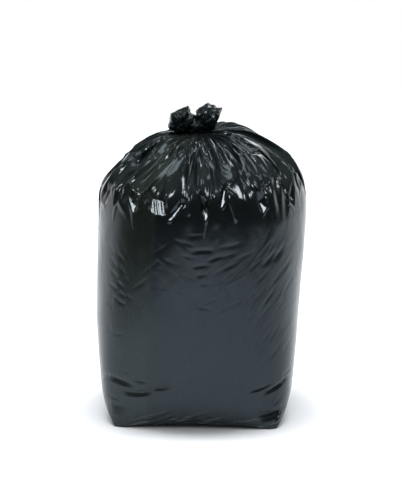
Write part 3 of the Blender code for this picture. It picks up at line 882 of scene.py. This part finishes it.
def base_rings(edge):
    """The bottom of the bag, [column, ring, xyz], from its middle out to just inside the edge."""
    columns = len(edge)
    middle = edge.mean(0)
    k = np.arange(columns)
    per = columns // 4
    from_corner = np.abs((k % per) - per / 2) / (per / 2)
    inset = 0.078 * (0.06 + 0.94 * np.clip(from_corner * 2.2, 0, 1))
    out = edge[:, :2] - middle[:2]
    far = np.linalg.norm(out, axis=1)
    rim = 1 - inset / far
    rings = []
    for share in (0.004, 0.20, 0.42, 0.64, 0.84, 1.0):
        flat = middle[:2] + out * (rim * share)[:, None]
        rise = 0.0016 * (1 - share**2) * (1 + np.sin(flat[:, 0] * 90) * np.cos(flat[:, 1] * 70))
        weld = 0.0012 * np.exp(-((flat[:, 1] / 0.005) ** 2)) * (1 - share**6)
        rings.append(np.column_stack((flat, rise + weld + 0.0002)))
    for f in (0.35, 0.70, 0.94):
        flat = middle[:2] + out * (rim + (1 - rim) * f)[:, None]
        rings.append(np.column_stack((flat, edge[:, 2] * f**0.9)))
    return np.stack(rings, 1)


def film_material(name="black_film", shaded_copy=1):
    m = bpy.data.materials.new(name)
    m.use_nodes = True
    nodes, links = m.node_tree.nodes, m.node_tree.links
    shader = nodes["Principled BSDF"]
    # the copy for the knot reflects less than the film: painted shade, standing in for the shade among the knot's
    # gathered folds
    shader.inputs["IOR"].default_value = 1.50 if shaded_copy == 1 else 1.38
    shader.inputs["Specular Tint"].default_value = (0.72, 0.87, 1.0, 1)

    def new(kind, **values):
        node = nodes.new(kind)
        for name, value in values.items():
            if name in node.inputs:
                node.inputs[name].default_value = value
            else:
                setattr(node, name, value)
        return node

    place = new("ShaderNodeUVMap", uv_map="film")

    def noise(stretch, detail, rough=0.55, twist=0.0):
        mapping = new("ShaderNodeMapping")
        mapping.inputs["Scale"].default_value = (*stretch, 1)
        links.new(place.outputs[0], mapping.inputs[0])
        n = new("ShaderNodeTexNoise", Scale=1.0, Detail=detail, Roughness=rough, Distortion=twist)
        links.new(mapping.outputs[0], n.inputs["Vector"])
        return n.outputs[0]

    # the film's thickness: thinner where it was drawn out, so a little paler in broad upright bands
    thick = noise((4.0, 1.4), 2.0)
    ramp = new("ShaderNodeValToRGB")
    ramp.color_ramp.elements[0].position, ramp.color_ramp.elements[1].position = 0.35, 0.70
    ramp.color_ramp.elements[0].color = (0.0034, 0.0056, 0.0078, 1)
    ramp.color_ramp.elements[1].color = (0.0090, 0.0124, 0.0108, 1)
    links.new(thick, ramp.inputs[0])
    # painted highlights: pale slanting streaks along the base's edge, standing in for the light caught by small folds
    # there
    split = new("ShaderNodeSeparateXYZ")
    links.new(place.outputs[0], split.inputs[0])
    slant = new("ShaderNodeMapping")
    slant.inputs["Rotation"].default_value = (0, 0, math.radians(-19))
    links.new(place.outputs[0], slant.inputs[0])
    fold_highlight_scale = new("ShaderNodeMapping")
    fold_highlight_scale.inputs["Scale"].default_value = (11.0, 130.0, 1)
    links.new(slant.outputs[0], fold_highlight_scale.inputs[0])
    streak = new("ShaderNodeTexNoise", Scale=1.0, Detail=3.0, Roughness=0.6, Distortion=0.3)
    links.new(fold_highlight_scale.outputs[0], streak.inputs["Vector"])
    pale = new("ShaderNodeMapRange", interpolation_type="SMOOTHSTEP")
    for key, value in (("From Min", 0.52), ("From Max", 0.70), ("To Min", 0.0), ("To Max", 1.0)):
        pale.inputs[key].default_value = value
    links.new(streak.outputs[0], pale.inputs["Value"])
    edge = new("ShaderNodeMapRange", interpolation_type="SMOOTHSTEP")
    for key, value in (("From Min", 0.010), ("From Max", 0.042), ("To Min", 1.0), ("To Max", 0.0)):
        edge.inputs[key].default_value = value
    links.new(split.outputs[1], edge.inputs["Value"])
    share = new("ShaderNodeMath", operation="MULTIPLY")
    links.new(pale.outputs[0], share.inputs[0])
    links.new(edge.outputs[0], share.inputs[1])
    # one of the paler upright bands, on the front's left
    off_band = new("ShaderNodeMath", operation="SUBTRACT")
    links.new(split.outputs[0], off_band.inputs[0])
    off_band.inputs[1].default_value = 0.915
    width = new("ShaderNodeMath", operation="ABSOLUTE")
    links.new(off_band.outputs[0], width.inputs[0])
    band = new("ShaderNodeMapRange", interpolation_type="SMOOTHSTEP")
    for key, value in (("From Min", 0.032), ("From Max", 0.046), ("To Min", 0.85), ("To Max", 0.0)):
        band.inputs[key].default_value = value
    links.new(width.outputs[0], band.inputs["Value"])
    banded = new("ShaderNodeMix", data_type="RGBA")
    links.new(band.outputs[0], banded.inputs["Factor"])
    links.new(ramp.outputs[0], banded.inputs["A"])
    banded.inputs["B"].default_value = (0.0125, 0.0170, 0.0125, 1)
    # the painted highlight colour, mixed in over the film near the base's edge
    painted_fold_highlight = new("ShaderNodeMix", data_type="RGBA")
    links.new(share.outputs[0], painted_fold_highlight.inputs["Factor"])
    links.new(banded.outputs["Result"], painted_fold_highlight.inputs["A"])
    painted_fold_highlight.inputs["B"].default_value = (0.125, 0.145, 0.140, 1)
    links.new(painted_fold_highlight.outputs["Result"], shader.inputs["Base Color"])

    gloss = new("ShaderNodeMapRange")
    gloss.inputs["From Min"].default_value, gloss.inputs["From Max"].default_value = 0.30, 0.75
    gloss.inputs["To Min"].default_value, gloss.inputs["To Max"].default_value = 0.13, 0.21
    links.new(noise((40.0, 14.0), 5.0, 0.6), gloss.inputs["Value"])
    # rougher where the load stretches the film, up to the shoulders
    drawn = new("ShaderNodeMapRange")
    for name, value in (("From Min", 0.36), ("From Max", 0.46), ("To Min", 0.09), ("To Max", 0.0)):
        drawn.inputs[name].default_value = value
    links.new(split.outputs[1], drawn.inputs["Value"])
    both = new("ShaderNodeMath", operation="ADD")
    links.new(gloss.outputs[0], both.inputs[0])
    links.new(drawn.outputs[0], both.inputs[1])
    links.new(both.outputs[0], shader.inputs["Roughness"])

    # lines drawn in to the film as it was blown, then a fine crinkle
    lines = new("ShaderNodeBump", Strength=0.10, Distance=0.0004)
    links.new(noise((420.0, 5.0), 2.0), lines.inputs["Height"])
    crinkle = new("ShaderNodeBump", Strength=0.16, Distance=0.0012)
    links.new(noise((75.0, 42.0), 4.0, 0.55, 0.6), crinkle.inputs["Height"])
    links.new(lines.outputs[0], crinkle.inputs["Normal"])
    links.new(crinkle.outputs[0], shader.inputs["Normal"])
    return m


def sheared(field, s, slant):
    """The same noise with its rows slid round the tube, so that it runs at a slant."""
    return np.stack([np.roll(field[:, j], int(round(slant * s[j] / 1.40 * len(field)))) for j in range(len(s))], 1)


def main():
    coarse, old = settle_film()
    s, border = final_stations()
    film = resampled(coarse, old, s, COLUMNS)
    taut, _ = taut_surface(COLUMNS, s)
    normal = normals_of(taut)
    rows = len(s)
    # the film is never quite smooth: low swells, and slanting drawn wrinkles under the pleats
    under = ease(s, 0.22, 0.36) * (1 - ease(s, 0.46, 0.52))
    swell = 0.00030 * film_noise(COLUMNS, rows, 60, 14, 71) + 0.00012 * film_noise(COLUMNS, rows, 130, 30, 72)
    drawn = 0.00014 * sheared(film_noise(COLUMNS, rows, 110, 16, 73), s, 0.8) + 0.00010 * sheared(film_noise(COLUMNS, rows, 150, 20, 74), s, -0.6)
    calm = 0.00010 * film_noise(COLUMNS, rows, 40, 12, 75) + 0.00005 * film_noise(COLUMNS, rows, 120, 44, 76)
    off = swell * under + drawn * (0.25 + 0.75 * under) * (1 - ease(s, 0.46, 0.52)) + calm * ease(s, 0.01, 0.04)
    film = film + normal * off[..., None]

    lit = strips(BRIGHT_LINES, 1.7, KEY) + strips(RIGHT_LINES, 1.8, FILL) + strips(UPPER_LINES, 1.5, SKY)
    film = crease(film, normal, 0.0, ridges(LONG_FOLDS, 2.0, 2.2))
    film = crease(film, normal, 0.0, DOME_CREASES + fanned(31, 10, (112, 132), (292, 196), (26, 46), (5.0, 9.0), (0.5, 1.1)))
    film = crease(film, normal, 0.0, fanned(32, 40, (108, 132), (298, 192), (18, 46), (1.3, 2.6), (0.10, 0.26)))
    film = facet(film, normal, 0.0, DOME_FACETS)
    film = crease(film, normal, 0.0, STRIATIONS)
    film = facet(film, normal, 0.0, lit, 0.05)
    film = crease(film, normal, 0.0, LOW_FOLDS + slanting(33, 30, (246, 228), (298, 350), (12, 26), (50, 67)) + slanting(34, 12, (206, 262), (250, 310), (9, 18), (22, 44))
                  + slanting(35, 10, (150, 236), (196, 300), (9, 18), (-40, -14)) + slanting(36, 10, (246, 350), (290, 408), (8, 18), (34, 60)))
    film = press(film, normal, 0.0, FRONT_DENTS, above=0.8, below=1.25, crisp=True)
    film = press(film, normal, 0.0, LOW_DENTS, above=0.45, below=1.0, crisp=True)
    half_turn = math.pi / 2
    for n, side in enumerate((half_turn, 2 * half_turn, -half_turn)):
        rng = np.random.default_rng(200 + n)
        slid = rng.uniform(-16, 16, 2)
        facets = [
            (tuple((402 - x + slid[0], y + slid[1] / 4) for x, y in corners[::-1]), FILL if light is KEY else KEY, share, band)
            for corners, light, share, band in DOME_FACETS
        ]
        film = facet(film, normal, side, facets, 0.60, 0.001)
        film = crease(film, normal, side, fanned(130 + n, 40, (115, 132), (287, 210), (18, 40), (2.8, 5.5), (0.9, 2.2))
                      + fanned(140 + n, 40, (112, 136), (294, 206), (16, 36), (1.2, 2.0), (0.12, 0.28)), 0.55)
        film = press(film, normal, side, (
            scattered(40 + n, 5, (118, 372), (165, 396), (8, 16), (-14, 8), (0.8, 1.6))
            + scattered(50 + n, 4, (245, 376), (285, 392), (8, 14), (14, 34), (0.7, 1.4))
            + scattered(60 + n, 9, (255, 250), (290, 340), (8, 15), (48, 66), (0.4, 1.0))
            + scattered(70 + n, 9, (110, 250), (130, 305), (4, 8), (-62, -30), (0.4, 1.0))
            + scattered(80 + n, 9, (180, 245), (230, 300), (5, 11), (-20, 30), (0.3, 1.2))
            + [(121, 411, 14, 4.6, -10, 1.7, 0.4), (272, 414, 15, 4.8, 12, 1.8, 0.4), (190, 419, 14, 1.6, 18, -0.9, 0.1)]
        ), 0.72 if n != 1 else 0.45)
    film[..., 2] = np.maximum(film[..., 2], 0.0002)
    material = film_material()

    # the bottom and the film in one grid, for the normals; then the body's film and the dome's, which share the points on their border
    bottom = base_rings(film[:, 0])
    whole = np.concatenate([bottom, film], axis=1)
    facing = normals_of(whole)
    facing[:, :3] = (0.0, 0.0, -1.0)
    s = np.concatenate([-0.20 + 0.20 * np.linspace(0, 0.98, bottom.shape[1]), s])
    border += bottom.shape[1]
    whole[1::2, border] = (whole[0::2, border] + np.roll(whole[0::2, border], -1, 0)) / 2
    for name, part, n, v in (
        ("film", whole[::2, : border + 1], facing[::2, : border + 1], s[: border + 1]),
        ("dome", whole[:, border:], facing[:, border:], s[border:]),
    ):
        columns, rows = part.shape[:2]
        piece = mesh_object(name, part.reshape(-1, 3), grid_faces(columns, rows), film_places(columns, v), material, n)
        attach(piece, "root")
        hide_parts("bin_bag")

    points, faces, places, normals, start = [], [], [], [], 0
    for part in knot_points():
        nu, nv = part.shape[:2]
        points.append(part.reshape(-1, 3))
        faces.append(grid_faces(nu, nv, start)[:, ::-1])
        places.append(np.stack(np.broadcast_arrays(0.35 * np.arange(nu)[:, None] / nu, 0.72 + 0.12 * np.arange(nv)[None, :] / nv), -1).reshape(-1, 2))
        start += nu * nv
    # the knot's film is the darker copy: painted shade for its gathered folds
    knot = mesh_object("knot", np.concatenate(points), np.concatenate(faces), np.concatenate(places), film_material("black_film_knot_shaded", 2))
    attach(knot, "root")
    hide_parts("bin_bag")


def studio():
    """A white floor, white behind the bag and low down, a dark room above, and soft boxes either side of the lens."""
    bpy.ops.mesh.primitive_circle_add(vertices=128, radius=3.2, fill_type="NGON", location=(0.35, 1.95, 0))
    floor = bpy.context.object
    floor.name = "floor"
    m = bpy.data.materials.new("floor")
    m.use_nodes = True
    m.node_tree.nodes["Principled BSDF"].inputs["Base Color"].default_value = (0.84, 0.855, 0.87, 1)
    m.node_tree.nodes["Principled BSDF"].inputs["Roughness"].default_value = 0.75
    floor.data.materials.append(m)

    world = bpy.data.worlds.new("studio")
    bpy.context.scene.world = world
    world.use_nodes = True
    nodes, links = world.node_tree.nodes, world.node_tree.links
    nodes.clear()
    out = nodes.new("ShaderNodeOutputWorld")
    path = nodes.new("ShaderNodeLightPath")
    place = nodes.new("ShaderNodeTexCoord")
    split = nodes.new("ShaderNodeSeparateXYZ")
    links.new(place.outputs["Generated"], split.inputs[0])

    def fade(socket, low, high, start, end):
        ramp = nodes.new("ShaderNodeMapRange")
        ramp.interpolation_type = "SMOOTHSTEP"
        for name, value in (("From Min", low), ("From Max", high), ("To Min", start), ("To Max", end)):
            ramp.inputs[name].default_value = value
        links.new(split.outputs[socket], ramp.inputs["Value"])
        return ramp.outputs[0]

    behind = fade("Y", -0.10, 0.35, 0.0, 1.0)
    low_down = fade("Z", 0.04, 0.26, 1.0, 0.0)
    both = nodes.new("ShaderNodeMath")
    both.operation = "MULTIPLY"
    links.new(behind, both.inputs[0])
    links.new(low_down, both.inputs[1])
    level = nodes.new("ShaderNodeMath")
    level.operation = "MULTIPLY_ADD"
    links.new(both.outputs[0], level.inputs[0])
    level.inputs[1].default_value = 1.35
    links.new(fade("Z", 0.25, 0.95, 0.06, 0.26), level.inputs[2])
    # the room's own soft light on what isn't glossy
    soft = nodes.new("ShaderNodeMix")
    soft.data_type = "FLOAT"
    links.new(path.outputs["Is Diffuse Ray"], soft.inputs["Factor"])
    links.new(level.outputs[0], soft.inputs["A"])
    links.new(fade("Z", 0.0, 0.80, 0.10, 0.42), soft.inputs["B"])
    light = nodes.new("ShaderNodeBackground")
    links.new(soft.outputs[0], light.inputs["Strength"])
    seen = nodes.new("ShaderNodeBackground")
    seen.inputs["Strength"].default_value = 1.0
    mix = nodes.new("ShaderNodeMixShader")
    links.new(path.outputs["Is Camera Ray"], mix.inputs[0])
    links.new(light.outputs[0], mix.inputs[1])
    links.new(seen.outputs[0], mix.inputs[2])
    links.new(mix.outputs[0], out.inputs["Surface"])
    for back in (light, seen):
        back.inputs["Color"].default_value = (1, 1, 1, 1)

    def box(name, place, size, power, look=(0, 0, 0.40), colour=(1, 1, 1), glossy=True, floor=False):
        data = bpy.data.lights.new(name, "AREA")
        data.shape = "RECTANGLE"
        data.size, data.size_y = size
        data.energy = power
        data.color = colour
        o = bpy.data.objects.new(name, data)
        bpy.context.scene.collection.objects.link(o)
        o.location = place
        o.rotation_mode = "QUATERNION"
        o.rotation_quaternion = (Vector(look) - Vector(place)).to_track_quat("-Z", "Y")
        o.visible_glossy = glossy
        o.visible_diffuse = floor or not glossy

    box("key", KEY, (0.65, 0.45), 27, colour=(1.0, 0.93, 0.87))
    box("fill", FILL, (0.5, 0.5), 18, colour=(1.0, 0.93, 0.87))
    box("top", TOP, (0.6, 0.45), 9, (0, 0, 0.5))
    box("back", (1.1, 2.2, 2.0), (1.6, 0.7), 16, (0, 0, 0.5))
    box("sky", SKY, (1.1, 0.7), 10, (0, 0, 0.4), colour=(0.92, 0.94, 0.90))
    box("over", (0.0, 0.10, 4.2), (2.4, 0.6), 182, (0, 0.10, 0), (0.96, 0.98, 1.0), glossy=False)
    box("wash", (0.0, 0.9, 4.2), (9.0, 2.6), 170, (0, 0.6, 0), (0.95, 0.98, 1.0), glossy=False)
    box("far", (0.0, 4.4, 3.4), (8.0, 3.0), 190, (0, 4.6, 0), (0.97, 0.985, 1.0), glossy=False)
    view = bpy.context.scene.view_settings
    view.view_transform = "Standard"
    view.look = "None"


studio()
main()
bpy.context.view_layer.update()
print(f"scene made in {time.time() - STARTED:.1f} s", flush=True)
